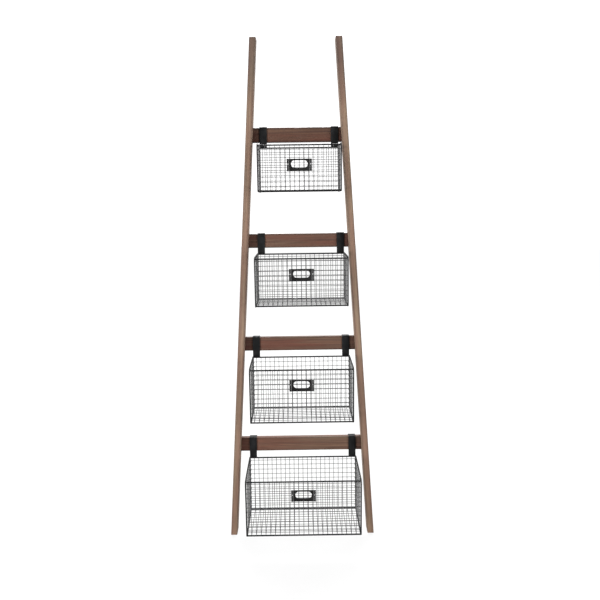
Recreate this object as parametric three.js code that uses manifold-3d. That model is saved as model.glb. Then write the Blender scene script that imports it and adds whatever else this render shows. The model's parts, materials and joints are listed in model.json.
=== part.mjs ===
// A leaning ladder shelf: two tapering wooden rails, four rungs and four wire baskets that hook
// over the rungs. Millimetres, +Z up. The origin is on the floor, at the foot of the wall that the
// rails lean on, midway between the rails; +Y points at the wall and +X to the right of a person
// who faces it.
import * as THREE from 'three';
import { mergeVertices } from 'three/addons/utils/BufferGeometryUtils.js';
import Module from 'manifold-3d';

const wasm = await Module();
wasm.setup();

// Ladder
const LEAN_DEGREES = 4.7;
const RAIL_LENGTH = 1710; // along the front edge, from the floor to the top
const RAIL_WIDTH = 22;
const RAIL_DEPTH = 50;
const HALF_WIDTH_FOOT = 253; // middle of the ladder to a rail's outer face
const HALF_WIDTH_TOP = 155;
const RUNG_COUNT = 4;
const LOWEST_RUNG = 342.5; // from the floor to the lowest rung's top edge, along the rails
const RUNG_PITCH = 359;
const RUNG_HEIGHT = 48;
const RUNG_THICKNESS = 22;
const RUNG_SETBACK = RAIL_DEPTH - RUNG_THICKNESS; // the rungs lie flush with the rails' rear faces
const EDGE_RADIUS = 2; // eased long edges of the boards

// Screws through the rails into the rungs' ends
const SCREW_LENGTH = 50;
const SCREW_RADIUS = 2;
const SCREW_TIP = 6;
const SCREW_HEAD_RADIUS = 4;
const SCREW_HEAD_RIM = 0.6;
const SCREW_HEAD_HEIGHT = 3.2;
const SCREW_SPACING = 24;
const SCREW_SUNK = 0.5; // how far a head lies below the rail's face

// Baskets, the top one first: width and depth are between the middles of the frame rods, and shift
// is how far to the right of the ladder's middle each one hangs
const BASKETS = [
  { width: 267, height: 149, depth: 140, labelDrop: 67, shift: 6 },
  { width: 297, height: 158, depth: 167, labelDrop: 56, shift: 8 },
  { width: 336, height: 182, depth: 167, labelDrop: 55, shift: 4 },
  { width: 374, height: 191, depth: 193, labelDrop: 51, shift: 5 },
];
const BASKET_DROP = 19.9; // a rung's lower edge to the middle of the basket's back rim rod
const ROD_RADIUS = 2.5;
const FRONT_TOP_BEND = 14;
const SMALL_BEND = 6;
const MESH_THICKNESS = 0.8; // the closed sheet that holds the place of the welded wire mesh
const MESH_INSET = 4.6; // from the middle of a rod to the edge of a mesh sheet
const WIRE_DIAMETER = 1.9; // two crossed wires stand this far proud of the middle of the mesh

// Hooks
const STRAP_WIDTH = 25;
const STRAP_THICKNESS = 2.5;
const STRAP_BEND = 2;
const HOOK_LIP = 20; // how far the rear lip reaches down behind the rung
const HOOK_INSET = 2; // from the outside of a basket's frame to a hook's outer edge

// Label holders
const LABEL_WIDTH = 80;
const LABEL_HEIGHT = 39;
const LABEL_PLATE = 1.2;
const LABEL_CHANNEL_WIDTH = 7;
const LABEL_CHANNEL_DEPTH = 2.4;
const WINDOW_WIDTH = 54;
const WINDOW_HEIGHT = 24.5;
const WINDOW_RADIUS = 11;
const WINDOW_RAISE = 3; // the window sits above the middle of the plate
const PIN_HOLE_RADIUS = 1.4;

const GAP = 0.3; // between solids that touch

const lean = THREE.MathUtils.degToRad(LEAN_DEGREES);
const taper = Math.atan((HALF_WIDTH_FOOT - HALF_WIDTH_TOP) / RAIL_LENGTH);
const ladderHeight = RAIL_LENGTH * Math.cos(lean);
const railFaceWidth = RAIL_WIDTH / Math.cos(taper);
const railRearLength = RAIL_LENGTH + RAIL_DEPTH * Math.tan(lean);
const footFrontY = -railRearLength * Math.sin(lean) - RAIL_DEPTH * Math.cos(lean);

const materials = {
  rail: new THREE.MeshStandardMaterial({ color: 0x7a6657, roughness: 0.65, metalness: 0 }),
  rung: new THREE.MeshStandardMaterial({ color: 0x6b4a3d, roughness: 0.6, metalness: 0 }),
  blackSteel: new THREE.MeshStandardMaterial({ color: 0x1c1b1b, roughness: 0.5, metalness: 0.6 }),
  wireMesh: new THREE.MeshStandardMaterial({ color: 0x3a3838, roughness: 0.5, metalness: 0.6 }),
  screw: new THREE.MeshStandardMaterial({ color: 0x8f8a80, roughness: 0.35, metalness: 1 }),
};

// Turns a shape drawn in Y and Z, and extruded along its own Z, so that it is extruded along X.
const acrossX = new THREE.Matrix4().makeBasis(
  new THREE.Vector3(0, 1, 0),
  new THREE.Vector3(0, 0, 1),
  new THREE.Vector3(1, 0, 0),
);

/** A closed geometry as a solid that can be cut and joined. */
function toSolid(geometry) {
  const bare = geometry.clone();
  bare.deleteAttribute('normal');
  bare.deleteAttribute('uv');
  const merged = mergeVertices(bare);
  const vertProperties = merged.attributes.position.array;
  const triVerts = new Uint32Array(merged.index.array);
  return new wasm.Manifold(new wasm.Mesh({ numProp: 3, vertProperties, triVerts }));
}

function toGeometry(solid) {
  const { vertProperties, triVerts } = solid.getMesh();
  const geometry = new THREE.BufferGeometry();
  geometry.setAttribute('position', new THREE.BufferAttribute(vertProperties, 3));
  geometry.setIndex(new THREE.BufferAttribute(triVerts, 1));
  geometry.computeVertexNormals();
  return geometry;
}

function named(name, geometry, material) {
  const mesh = new THREE.Mesh(geometry, material);
  mesh.name = name;
  return mesh;
}

/** Half of the ladder's overall width at a height along the rails. */
function halfWidthAt(height) {
  return THREE.MathUtils.lerp(HALF_WIDTH_FOOT, HALF_WIDTH_TOP, height / RAIL_LENGTH);
}

/**
 * A convex outline with rounded corners, taken anticlockwise: its points lie `offset` outside the
 * line through the corners, and each corner's arc keeps its centre.
 */
function roundedOutline(corners, radii, offset, steps = 4) {
  const count = corners.length;
  return corners.flatMap((corner, i) => {
    const entering = corner.clone().sub(corners[(i + count - 1) % count]).normalize();
    const leaving = corners[(i + 1) % count].clone().sub(corner).normalize();
    const from = new THREE.Vector2(entering.y, -entering.x);
    const to = new THREE.Vector2(leaving.y, -leaving.x);
    const reach = radii[i] / (1 + from.dot(to));
    const centre = corner.clone().addScaledVector(from.clone().add(to), -reach);
    const turn = Math.atan2(from.cross(to), from.dot(to));
    return Array.from({ length: steps + 1 }, (_, step) => {
      const angle = from.angle() + (turn * step) / steps;
      const arm = new THREE.Vector2(Math.cos(angle), Math.sin(angle));
      return centre.clone().addScaledVector(arm, radii[i] + offset);
    });
  });
}

/** A board's section, with its four long edges eased. */
function boardSection(width, height) {
  const corners = [[0, 0], [width, 0], [width, height], [0, height]];
  const outline = corners.map(([x, y]) => new THREE.Vector2(x, y));
  return new THREE.Shape(roundedOutline(outline, Array(4).fill(EDGE_RADIUS), 0, 2));
}

function extrude(shape, depth) {
  return new THREE.ExtrudeGeometry(shape, { depth, bevelEnabled: false, curveSegments: 6 });
}

/** How far up the rails a rung's top edge is. Rung 1 is the highest. */
function rungTopEdge(number) {
  return LOWEST_RUNG + (RUNG_COUNT - number) * RUNG_PITCH;
}

// ---- Ladder: x across, y back from the rails' front faces, z up along the rails ----

/** A countersunk screw along +X, its head's face at the origin; `margin` makes the hole for it. */
function screwGeometry(margin) {
  const mouth = margin > 0 ? -SCREW_HEAD_HEIGHT : 0;
  const profile = [
    [0, mouth],
    [SCREW_HEAD_RADIUS + margin, mouth],
    [SCREW_HEAD_RADIUS + margin, SCREW_HEAD_RIM],
    [SCREW_RADIUS + margin, SCREW_HEAD_HEIGHT],
    [SCREW_RADIUS + margin, SCREW_LENGTH - SCREW_TIP],
    [0, SCREW_LENGTH + 2 * margin],
  ];
  const points = profile.map(([radius, along]) => new THREE.Vector2(radius, along));
  const geometry = new THREE.LatheGeometry(points, 12);
  geometry.rotateZ(-Math.PI / 2);
  return geometry;
}

/** Where each screw goes: its name, its head's place, and the side of the ladder it is on. */
const screwPlaces = [];
for (let rung = 1; rung <= RUNG_COUNT; rung += 1) {
  const middle = rungTopEdge(rung) - RUNG_HEIGHT / 2;
  for (const [sideName, side] of [['left', -1], ['right', 1]]) {
    for (const [level, up] of [['upper', 1], ['lower', -1]]) {
      const height = middle + (up * SCREW_SPACING) / 2;
      const x = side * (halfWidthAt(height) - SCREW_SUNK);
      const name = `rung_${rung}_screw_${sideName}_${level}`;
      const y = RUNG_SETBACK + RUNG_THICKNESS / 2;
      screwPlaces.push({ name, side, position: new THREE.Vector3(x, y, height) });
    }
  }
}

/** A screw's geometry turned to point into the ladder and moved to its place. */
function screwAt({ side, position }, margin) {
  const geometry = screwGeometry(margin);
  if (side > 0) {
    geometry.rotateY(Math.PI);
  }
  geometry.translate(position.x, position.y, position.z);
  return geometry;
}

function withoutScrewHoles(solid) {
  return screwPlaces.reduce((rest, place) => rest.subtract(toSolid(screwAt(place, GAP))), solid);
}

/** Everything between the floor and the level cut across the tops of the rails. */
function levelSlab() {
  const slab = new THREE.BoxGeometry(4 * HALF_WIDTH_FOOT, RAIL_LENGTH, ladderHeight);
  slab.translate(0, 0, ladderHeight / 2);
  slab.rotateX(lean);
  return toSolid(slab);
}

function makeRail(name, side) {
  const blank = extrude(boardSection(RAIL_WIDTH, RAIL_DEPTH), RAIL_LENGTH * 1.1);
  blank.translate(side > 0 ? -RAIL_WIDTH : 0, 0, -RAIL_LENGTH * 0.05);
  blank.rotateY(-side * taper);
  blank.translate(side * HALF_WIDTH_FOOT, 0, 0);
  const rail = withoutScrewHoles(toSolid(blank).intersect(levelSlab()));
  return named(name, toGeometry(rail), materials.rail);
}

/** The space between the two rails, which trims the rungs' ends to the taper. */
function betweenRails() {
  const inner = (height) => halfWidthAt(height) - railFaceWidth - GAP;
  const foot = inner(0);
  const top = inner(RAIL_LENGTH);
  const corners = [[-foot, 0], [foot, 0], [top, RAIL_LENGTH], [-top, RAIL_LENGTH]];
  const shape = new THREE.Shape(corners.map(([x, z]) => new THREE.Vector2(x, z)));
  const geometry = extrude(shape, 2 * RAIL_DEPTH);
  geometry.rotateX(Math.PI / 2);
  geometry.translate(0, RAIL_DEPTH, 0);
  return toSolid(geometry);
}

function makeRung(number) {
  const blank = extrude(boardSection(RUNG_THICKNESS, RUNG_HEIGHT), 2 * HALF_WIDTH_FOOT);
  blank.applyMatrix4(acrossX);
  blank.translate(-HALF_WIDTH_FOOT, RUNG_SETBACK, rungTopEdge(number) - RUNG_HEIGHT);
  const rung = withoutScrewHoles(toSolid(blank).intersect(betweenRails()));
  return named(`rung_${number}`, toGeometry(rung), materials.rung);
}

// ---- Baskets: x across, y towards the wall, z up, from the middle of the back rim rod ----

/** The side of a basket: back rim, front rim, front bottom, back bottom. The back leans. */
function sideCorners({ height, depth }) {
  const corners = [[0, 0], [-depth, 0], [-depth, -height], [-height * Math.tan(lean), -height]];
  return corners.map(([y, z]) => new THREE.Vector2(y, z));
}

const sideRadii = [SMALL_BEND, FRONT_TOP_BEND, SMALL_BEND, SMALL_BEND];

/** One closed loop of bent rod, with an eight-sided section, around a basket's side. */
function sideLoop(basket) {
  const flat = ROD_RADIUS * Math.tan(Math.PI / 8);
  const bevel = ROD_RADIUS - flat;
  const corners = sideCorners(basket);
  const shape = new THREE.Shape(roundedOutline(corners, sideRadii, flat));
  shape.holes.push(new THREE.Path(roundedOutline(corners, sideRadii, -flat).reverse()));
  const loop = new THREE.ExtrudeGeometry(shape, {
    depth: 2 * flat,
    bevelEnabled: true,
    bevelThickness: bevel,
    bevelSize: bevel,
    bevelSegments: 1,
  });
  loop.translate(0, 0, -flat);
  loop.applyMatrix4(acrossX);
  return loop;
}

/** The rod frame: two side loops, and a cross rod welded into each of their bends. */
function makeFrame(number, basket) {
  const corners = sideCorners(basket);
  const steps = 2;
  const bends = roundedOutline(corners, sideRadii, 0, steps);
  let frame = null;
  for (const side of [-1, 1]) {
    const loop = sideLoop(basket);
    loop.translate((side * basket.width) / 2, 0, 0);
    frame = frame ? frame.add(toSolid(loop)) : toSolid(loop);
  }
  corners.forEach((_, i) => {
    const middleOfBend = bends[i * (steps + 1) + 1];
    const rod = new THREE.CylinderGeometry(ROD_RADIUS, ROD_RADIUS, basket.width, 8);
    rod.rotateZ(Math.PI / 2);
    rod.translate(0, middleOfBend.x, middleOfBend.y);
    frame = frame.add(toSolid(rod));
  });
  return named(`basket_${number}_frame`, toGeometry(frame), materials.blackSteel);
}

// A mesh sheet lies against the inner side of the rods.
const meshDepth = ROD_RADIUS + GAP + MESH_THICKNESS / 2;

function meshSheet(name, width, depth, height) {
  return named(name, new THREE.BoxGeometry(width, depth, height), materials.wireMesh);
}

function makeFrontMesh(number, { width, height, depth }) {
  const top = -FRONT_TOP_BEND * (1 - Math.SQRT1_2) - ROD_RADIUS - GAP;
  const bottom = MESH_INSET - height;
  const sheetWidth = width - 2 * MESH_INSET;
  const sheet = meshSheet(`basket_${number}_mesh_front`, sheetWidth, MESH_THICKNESS, top - bottom);
  sheet.position.set(0, meshDepth - depth, (top + bottom) / 2);
  return sheet;
}

function makeFloorMesh(number, { width, height, depth }) {
  const front = MESH_INSET - depth;
  const back = -height * Math.tan(lean) - MESH_INSET;
  const sheetWidth = width - 2 * MESH_INSET;
  const sheet = meshSheet(`basket_${number}_mesh_floor`, sheetWidth, back - front, MESH_THICKNESS);
  sheet.position.set(0, (front + back) / 2, meshDepth - height);
  return sheet;
}

function makeSideMesh(number, basket, sideName, side) {
  const shape = new THREE.Shape(roundedOutline(sideCorners(basket), sideRadii, -MESH_INSET));
  const geometry = extrude(shape, MESH_THICKNESS);
  geometry.applyMatrix4(acrossX);
  geometry.translate(-MESH_THICKNESS / 2, 0, 0);
  const sheet = named(`basket_${number}_mesh_${sideName}`, geometry, materials.wireMesh);
  sheet.position.x = side * (basket.width / 2 - meshDepth);
  return sheet;
}

/** The back sheet lies along the ladder, so it is placed in the ladder's own axes. */
function makeBackMesh(number, { width, height }) {
  const length = height / Math.cos(lean) - 2 * MESH_INSET;
  const sheetWidth = width - 2 * MESH_INSET;
  const sheet = meshSheet(`basket_${number}_mesh_back`, sheetWidth, MESH_THICKNESS, length);
  sheet.position.set(0, -meshDepth, -length / 2 - MESH_INSET);
  return sheet;
}

/** A pressed plate with a round-ended window, and a folded channel at each end. */
function makeLabelHolder(number, { depth, labelDrop }) {
  const halfWindow = WINDOW_WIDTH / 2;
  const low = WINDOW_RAISE - WINDOW_HEIGHT / 2;
  const high = WINDOW_RAISE + WINDOW_HEIGHT / 2;
  const windowCorners = [
    [-halfWindow, low],
    [halfWindow, low],
    [halfWindow, high],
    [-halfWindow, high],
  ].map(([x, z]) => new THREE.Vector2(x, z));
  const plateShape = new THREE.Shape();
  plateShape.moveTo(-LABEL_WIDTH / 2, -LABEL_HEIGHT / 2);
  plateShape.lineTo(LABEL_WIDTH / 2, -LABEL_HEIGHT / 2);
  plateShape.lineTo(LABEL_WIDTH / 2, LABEL_HEIGHT / 2);
  plateShape.lineTo(-LABEL_WIDTH / 2, LABEL_HEIGHT / 2);
  const window = roundedOutline(windowCorners, Array(4).fill(WINDOW_RADIUS), 0);
  plateShape.holes.push(new THREE.Path(window.reverse()));
  let holder = toSolid(extrude(plateShape, LABEL_PLATE));
  for (const side of [-1, 1]) {
    const channel = new THREE.BoxGeometry(LABEL_CHANNEL_WIDTH, LABEL_HEIGHT, LABEL_CHANNEL_DEPTH);
    const middle = side * (LABEL_WIDTH / 2 - LABEL_CHANNEL_WIDTH / 2);
    channel.translate(middle, 0, LABEL_CHANNEL_DEPTH / 2);
    const hole = new THREE.CylinderGeometry(PIN_HOLE_RADIUS, PIN_HOLE_RADIUS, LABEL_WIDTH, 8);
    hole.rotateX(Math.PI / 2);
    hole.translate(middle, WINDOW_RAISE, 0);
    holder = holder.add(toSolid(channel)).subtract(toSolid(hole));
  }
  const geometry = toGeometry(holder);
  geometry.rotateX(Math.PI / 2);
  const mesh = named(`basket_${number}_label_holder`, geometry, materials.blackSteel);
  mesh.position.set(0, meshDepth - WIRE_DIAMETER - GAP - depth, -labelDrop);
  return mesh;
}

/** A flat strap bent over the rung, from the rung's top front edge; its foot is on the rim rod. */
function makeHook(number, basket, sideName, side) {
  const front = -GAP;
  const rear = RUNG_THICKNESS + GAP;
  const foot = -RUNG_HEIGHT - BASKET_DROP - ROD_RADIUS;
  const bendHeight = GAP - STRAP_BEND;
  const outerBend = STRAP_BEND + STRAP_THICKNESS;
  const profile = new THREE.Shape();
  profile.moveTo(front - STRAP_THICKNESS, foot);
  profile.lineTo(front, foot);
  profile.lineTo(front, bendHeight);
  profile.absarc(front + STRAP_BEND, bendHeight, STRAP_BEND, Math.PI, Math.PI / 2, true);
  profile.absarc(rear - STRAP_BEND, bendHeight, STRAP_BEND, Math.PI / 2, 0, true);
  profile.lineTo(rear, -HOOK_LIP);
  profile.lineTo(rear + STRAP_THICKNESS, -HOOK_LIP);
  profile.absarc(rear - STRAP_BEND, bendHeight, outerBend, 0, Math.PI / 2, false);
  profile.absarc(front + STRAP_BEND, bendHeight, outerBend, Math.PI / 2, Math.PI, false);
  const geometry = extrude(profile, STRAP_WIDTH);
  geometry.applyMatrix4(acrossX);
  const outerEdge = basket.width / 2 + ROD_RADIUS - HOOK_INSET;
  const middle = side * (outerEdge - STRAP_WIDTH / 2);
  geometry.translate(middle - STRAP_WIDTH / 2, 0, 0);
  return named(`basket_${number}_hook_${sideName}`, geometry, materials.blackSteel);
}

/** A basket with its hooks, from the top front edge of the rung that it hangs on. */
function makeBasket(number, basket) {
  const hung = new THREE.Group();
  const rim = new THREE.Group();
  const rimForward = GAP + STRAP_THICKNESS + GAP + ROD_RADIUS;
  rim.position.set(0, -rimForward, -RUNG_HEIGHT - BASKET_DROP);
  const level = new THREE.Group();
  level.rotation.x = lean;
  level.add(makeFrame(number, basket));
  level.add(makeFrontMesh(number, basket));
  level.add(makeFloorMesh(number, basket));
  level.add(makeLabelHolder(number, basket));
  rim.add(makeBackMesh(number, basket));
  rim.add(level);
  hung.add(rim);
  for (const [sideName, side] of [['left', -1], ['right', 1]]) {
    level.add(makeSideMesh(number, basket, sideName, side));
    hung.add(makeHook(number, basket, sideName, side));
  }
  return hung;
}

// ---- Assembly ----

const ladder = new THREE.Group();
ladder.position.y = footFrontY;
ladder.rotation.x = -lean;
ladder.add(makeRail('left_rail', -1));
ladder.add(makeRail('right_rail', 1));
for (const place of screwPlaces) {
  ladder.add(named(place.name, screwAt(place, 0), materials.screw));
}
BASKETS.forEach((basket, i) => {
  const number = i + 1;
  ladder.add(makeRung(number));
  const hung = makeBasket(number, basket);
  hung.position.set(basket.shift, RUNG_SETBACK, rungTopEdge(number));
  ladder.add(hung);
});

const shelf = new THREE.Group();
shelf.name = 'ladder_shelf';
shelf.add(ladder);

export default shelf;
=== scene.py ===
"""The looks of a leaning ladder shelf with four hook-on wire baskets, built around its CAD parts.

Everything is in metres and in the row frame: +Z up, +Y towards the wall, the floor at Z = 0.
"""

import json
import math
import random
from collections import namedtuple
from itertools import product

import bmesh
import bpy
from mathutils import Matrix, Vector, noise


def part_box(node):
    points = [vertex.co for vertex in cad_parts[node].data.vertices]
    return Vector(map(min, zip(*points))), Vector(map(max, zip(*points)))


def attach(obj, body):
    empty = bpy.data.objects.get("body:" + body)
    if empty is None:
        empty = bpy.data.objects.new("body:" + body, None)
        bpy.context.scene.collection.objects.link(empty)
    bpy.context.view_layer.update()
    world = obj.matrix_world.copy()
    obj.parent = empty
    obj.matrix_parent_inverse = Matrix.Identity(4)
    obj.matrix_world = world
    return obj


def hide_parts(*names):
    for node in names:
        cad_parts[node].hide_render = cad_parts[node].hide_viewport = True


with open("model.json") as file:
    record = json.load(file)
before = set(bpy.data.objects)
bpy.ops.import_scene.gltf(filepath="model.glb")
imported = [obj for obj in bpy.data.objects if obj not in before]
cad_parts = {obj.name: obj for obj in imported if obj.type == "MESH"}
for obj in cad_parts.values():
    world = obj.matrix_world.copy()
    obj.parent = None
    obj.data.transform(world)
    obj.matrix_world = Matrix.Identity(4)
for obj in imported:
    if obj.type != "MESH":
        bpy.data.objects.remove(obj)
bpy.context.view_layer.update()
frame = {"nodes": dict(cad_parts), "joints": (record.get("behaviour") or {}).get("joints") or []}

MM = 0.001
BASKET_NUMBERS = (1, 2, 3, 4)
SIDES = (("left", -1), ("right", 1))
CAD_GAP = 0.3 * MM  # left in the CAD between solids that touch

# Boards
EDGE_RADIUS = 2 * MM
END_RADIUS = 0.9 * MM
STATION_PITCH = 9 * MM  # between the sections that a board is swept through
FLAT_PITCH = 3.6 * MM  # between the points across a board's flat sides
EDGE_SHADE_FADE = 3.5 * MM  # over which the painted shade fades in from a board's edges
RINGS_PER_METRE = 330.0

# Screws
SCREW_HEAD_RADIUS = 3.9 * MM
SCREW_HEAD_HEIGHT = 3.2 * MM
SCREW_RADIUS = 2 * MM
SCREW_RIM = 0.55 * MM  # the straight edge of the head
SCREW_SHANK = 44 * MM  # where the point starts
SCREW_LENGTH = 50 * MM
SCREW_SIDES = 32
SCREW_EDGE = 0.12 * MM
RECESS_FLOOR = (2.0, 0.5, 2.2)  # length, width and depth of each bar of the cross, in mm
RECESS_MOUTH = (5.0, 1.0, -1.0)
HOLE_SIDES = 24
HOLE_MOUTH = 3 * MM  # how far a hole's cutter stands out of the board
HOLE_CLEARANCE = 0.25 * MM

# Basket rods, as they were bent for the CAD
ROD_RADIUS = 2.5 * MM
FRONT_TOP_BEND = 14 * MM
SMALL_BEND = 6 * MM
ROD_SIDES = 14
WELD_BEAD = Vector((2.2, 2.95, 2.95)) * MM
WELD_INSET = 2.3 * MM  # from the middle of a side loop to the middle of its weld beads

# Welded wire mesh
WIRE_RADIUS = 0.85 * MM
SIDE_WIRE_RADIUS = 0.6 * MM
WIRE_LAYER = 0.72 * MM  # from the middle of the mesh to the middle of each layer of wires
MESH_DEPTH = 3.2 * MM  # from the middle of the rods to the middle of the mesh
COLUMN_PITCH = 15.6 * MM
ROW_PITCH = 16.4 * MM
WIRE_WANDER = 0.25 * MM
WIRE_SIDES = 8
WIRE_WELD = (1.6, 1.6, 1.15)  # a weld's reach in the mesh and through it, in wire radii
SHORTEST_WIRE = 3 * MM
WIRE_REACH = 0.4 * MM  # how far a wire's end runs past the middle of its rod
# the least distance from a rod to the wire beside it: at the bends, the side loops and the back
CORNER_CLEARANCE = 8 * MM
SIDE_CLEARANCE = 6 * MM
BACK_CLEARANCE = 5 * MM
BACK_INSET = 1.5 * MM  # from a rod to the ends of the back's wires

# Hooks
STRAP_BEND = 2 * MM
STRAP_LIP = 20 * MM  # how far the rear lip hangs below the rung's top edge
STRAP_EDGE = 0.55 * MM
STRAP_WELD = Vector((3.4, 0.95, 0.8)) * MM
STRAP_WELD_INSET = 5 * MM  # from the strap's sides
STRAP_WELD_PLACE = (0.35 * MM, 1.75 * MM)  # forward of the strap, and up or down from the rod

# Label holders
LABEL_PLATE = 1.1 * MM
LABEL_SHEET = 0.85 * MM
LABEL_CHANNEL = 7 * MM
LABEL_DEPTH = 2.6 * MM
LABEL_LIP = 1.3 * MM  # the painted highlight along the edge of each channel
LABEL_LIP_FADE = 0.4 * MM
LABEL_TUCK = 2 * MM  # how far the channels' backs run behind the plate
LABEL_FOLD = 2 * MM  # how far the plate stops short of the channels' ends
LABEL_CORNER = 0.4 * MM
LABEL_RIM = 1.3 * MM
LABEL_RIM_HEIGHT = 0.5 * MM
WINDOW_HALF_WIDTH = 26.5 * MM
WINDOW_HALF_HEIGHT = 11.6 * MM
WINDOW_RISE = 3 * MM
WINDOW_RADIUS = 11 * MM
PIN_RADIUS = 1.4 * MM
PIN_SIDES = 20
PIN_REACH = (-2 * MM, 4 * MM)  # past both faces of the channels

# Stain, grain and painted shade on the wood, as linear colours
RAIL_TONES = {
    "pale": (0.232, 0.167, 0.11),
    "deep": (0.144, 0.096, 0.068),
    "red": (0.176, 0.102, 0.073),
}
# darker towards the rails' tops
RAIL_TOP_SHADE = (0.6, 0.6, 0.66)
RAIL_TOP_SPAN = (0.86, 0.96)  # as shares of the rail's height
RUNG_TONES = {
    "pale": (0.12, 0.068, 0.043),
    "deep": (0.056, 0.028, 0.02),
    "red": (0.096, 0.035, 0.022),
}
RUNG_TINTS = ((0.8, 0.7, 0.66), (0.95, 0.97, 0.98), (0.88, 0.84, 0.83), (1, 1, 1))
RING_TINT = (0.62, 0.56, 0.52)
PORE_TINT = (0.35, 0.3, 0.27)
WORN_TINT = (0.6, 0.57, 0.56)
# painted shade on the boards' eased edges, fading over the flat faces near them
EDGE_SHADE_TINT = (0.62, 0.6, 0.6)
# lighter and less red towards the rungs' tops
RUNG_TOP_SHADE = (1.0, 1.17, 1.2)
RUNG_TOP_SPAN = (7 * MM, 23 * MM)  # up from the rung's middle
# painted shadow that the rails, standing proud of the rungs, cast on each rung's ends
RUNG_END_PAINTED_SHADOW = (0.8, 0.78, 0.84)
RUNG_END_SHADOW_SPAN = (34 * MM, 12 * MM)  # in from the rung's ends

# Steel, and the painted highlight on the label holders' lips, as linear colours
COATS = {  # base colour, depth of the orange peel, roughness, sheen
    "rod_steel": ((0.008, 0.008, 0.0085), 0.05 * MM, 0.45, 0.16),
    "strap_steel": ((0.006, 0.0062, 0.0065), 0.08 * MM, 0.45, 0.12),
    "label_steel": ((0.0065, 0.0062, 0.0062), 0.08 * MM, 0.45, 0.14),
    "wire_steel": ((0.03, 0.0295, 0.03), 0.03 * MM, 0.4, 0.4),
}
# painted highlight: a light grey along the label channels' lips
LIP_HIGHLIGHT_TONE = (0.13, 0.13, 0.13)
ZINC_TONES = ((0.2, 0.19, 0.17), (0.36, 0.35, 0.31))

# Studio
DOME_RADIUS = 14.0
FLOOR_DROP = 0.6 * MM
FLOOR_GLOW = (0.86, 0.985)  # near the shelf and far from it
FLOOR_GLOW_REACH = (0.5, 2.2)  # where the glow starts and stops rising
WORLD_BELOW = 0.12
WORLD_ABOVE = 0.36
WORLD_BEHIND = 1.0
WORLD_RISE = ("Z", -0.2, 0.7)  # along which axis, and from where to where, it brightens upwards
WORLD_TURN = ("Y", 0.3, 0.8)  # and backwards
BOX_AIM = (0, -0.2, 0.8)
SIDE_BOX = (1.5, 2.4)
SOFTBOXES = (  # name, place, target, size, watts
    ("left_box", (-3.4, -2.5, 1.1), BOX_AIM, SIDE_BOX, 330),
    ("right_box", (3.4, -2.5, 1.1), BOX_AIM, SIDE_BOX, 232),
    ("top_box", (0, 1.5, 4.2), (0, -0.15, 0.8), (2.4, 1.2), 430),
)

# Camera
CAMERA_PLACE = (-0.0028, -1.9656, 1.1619)  # from the middle of the ladder's foot
CAMERA_YAW, CAMERA_PITCH, CAMERA_ROLL = (math.radians(a) for a in (-0.15, 9.29, -0.76))
CAMERA_LENS = CAMERA_SENSOR = 36


# ---- Axes and places, all taken from the frame ----


def in_axes(node, axes):
    """A CAD node's vertices in another set of axes."""
    inverse = axes.inverted()
    return [inverse @ vertex.co for vertex in frame["nodes"][node].data.vertices]


def box_in(node, axes):
    """The lowest and highest corner of a CAD node in another set of axes."""
    points = in_axes(node, axes)
    return Vector(map(min, zip(*points))), Vector(map(max, zip(*points)))


def ladder_axes():
    """x across, y back from the rails' front faces, z up along the rails, from the floor."""
    along = frame["joints"][0]["axis"]
    foot = Matrix.Translation((0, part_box("left_rail")[0].y, 0))
    return foot @ Matrix.Rotation(-math.atan2(along[1], along[2]), 4, "X")


LADDER = ladder_axes()
LEAN = math.atan2(LADDER[1][2], LADDER[2][2])


# ---- Mesh building ----


def finish_piece(bm, name, body, material, replaced, axes, sharp=35):
    """Turns a bmesh into a smooth-shaded piece that rides on a body."""
    bmesh.ops.recalc_face_normals(bm, faces=bm.faces)
    mesh = bpy.data.meshes.new(name)
    bm.to_mesh(mesh)
    bm.free()
    place_piece(mesh, name, body, material, replaced, axes, sharp)


def place_piece(mesh, name, body, material, replaced, axes, sharp=35):
    """Shows a mesh as a piece that rides on a body, in place of some CAD nodes."""
    mesh.shade_smooth()
    mesh.set_sharp_from_angle(angle=math.radians(sharp))
    mesh.materials.clear()
    mesh.materials.append(material)
    piece = bpy.data.objects.new(name, mesh)
    bpy.context.scene.collection.objects.link(piece)
    piece.matrix_world = axes
    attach(piece, body)
    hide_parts(*replaced)


def with_modifier(bm, kind, **settings):
    """A new mesh: the bmesh after one modifier."""
    mesh = bpy.data.meshes.new("work")
    bmesh.ops.recalc_face_normals(bm, faces=bm.faces)
    bm.to_mesh(mesh)
    bm.free()
    holder = bpy.data.objects.new("work", mesh)
    bpy.context.scene.collection.objects.link(holder)
    modifier = holder.modifiers.new("work", kind)
    for key, value in settings.items():
        setattr(modifier, key, value)
    graph = bpy.context.evaluated_depsgraph_get()
    graph.update()
    made = bpy.data.meshes.new_from_object(holder.evaluated_get(graph))
    bpy.data.objects.remove(holder)
    return made


def to_bmesh(mesh):
    bm = bmesh.new()
    bm.from_mesh(mesh)
    return bm


def bevel_settings(width, segments, angle):
    limit = math.radians(angle)
    return {"width": width, "segments": segments, "limit_method": "ANGLE", "angle_limit": limit}


def bevelled(bm, width, segments, angle):
    return to_bmesh(with_modifier(bm, "BEVEL", **bevel_settings(width, segments, angle)))


def subtract(bm, cutter_bm):
    """Cuts one bmesh out of another."""
    cutter_mesh = bpy.data.meshes.new("cutter")
    bmesh.ops.recalc_face_normals(cutter_bm, faces=cutter_bm.faces)
    cutter_bm.to_mesh(cutter_mesh)
    cutter_bm.free()
    cutter = bpy.data.objects.new("cutter", cutter_mesh)
    bpy.context.scene.collection.objects.link(cutter)
    made = with_modifier(bm, "BOOLEAN", object=cutter, operation="DIFFERENCE", solver="EXACT")
    bpy.data.objects.remove(cutter)
    return to_bmesh(made)


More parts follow.
